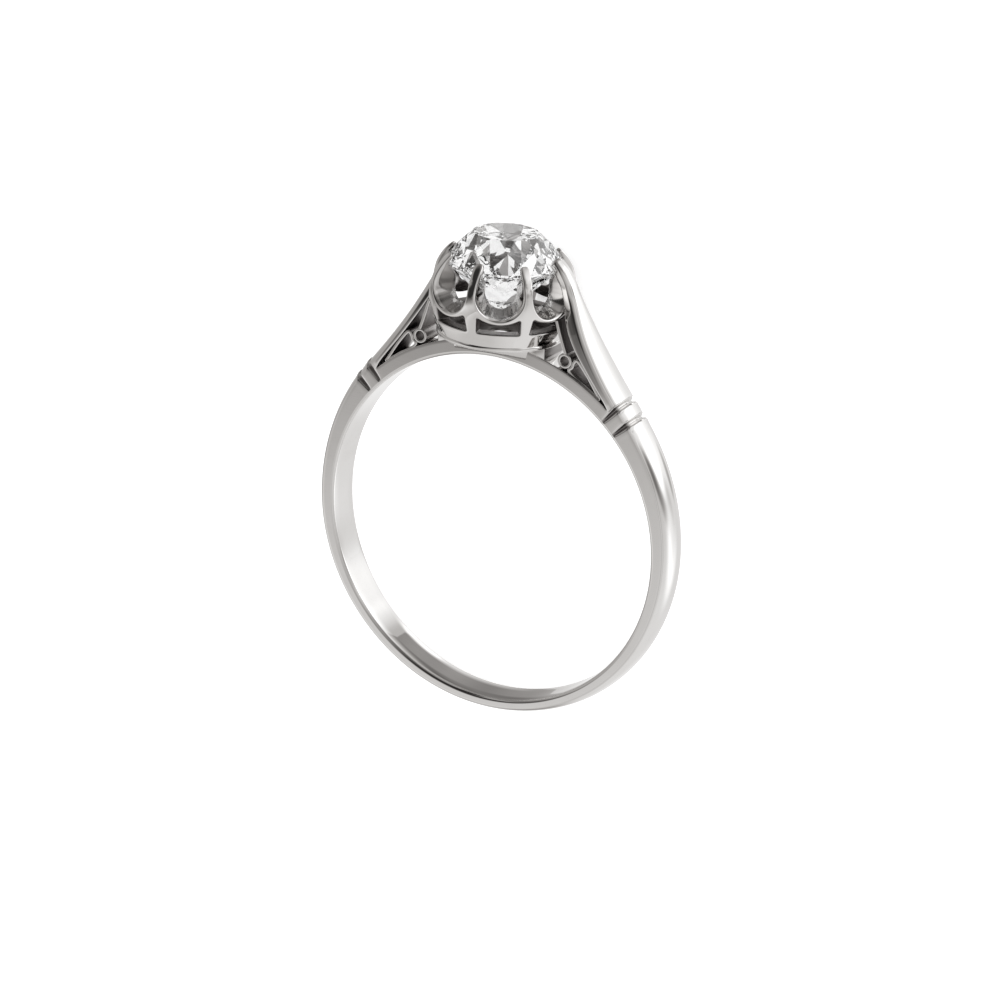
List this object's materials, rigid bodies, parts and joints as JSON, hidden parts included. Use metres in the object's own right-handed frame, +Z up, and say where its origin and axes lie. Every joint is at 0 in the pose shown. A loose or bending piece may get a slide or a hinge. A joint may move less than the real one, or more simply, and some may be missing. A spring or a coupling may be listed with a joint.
{
  "type": "solitaire ring",
  "caption": "Polished white-metal finger ring with pierced shoulders and one old-cut clear stone held high in a claw collet.",
  "frame": {"origin": "centre of the box that holds the ring, on the ground it lies on", "axes": "+Z up from the ground, +Y from the base of the hoop towards the stone, +X along the width of the hoop; the finger hole's axis is 7.2 degrees off +Z"},
  "size_m": [0.0188, 0.0235, 0.007],
  "materials": {
    "white_metal": "polished",
    "stone": "polished facets"
  },
  "bodies": {
    "root": {"mount": "white_metal", "stone": "stone"}
  },
  "joints": []
}
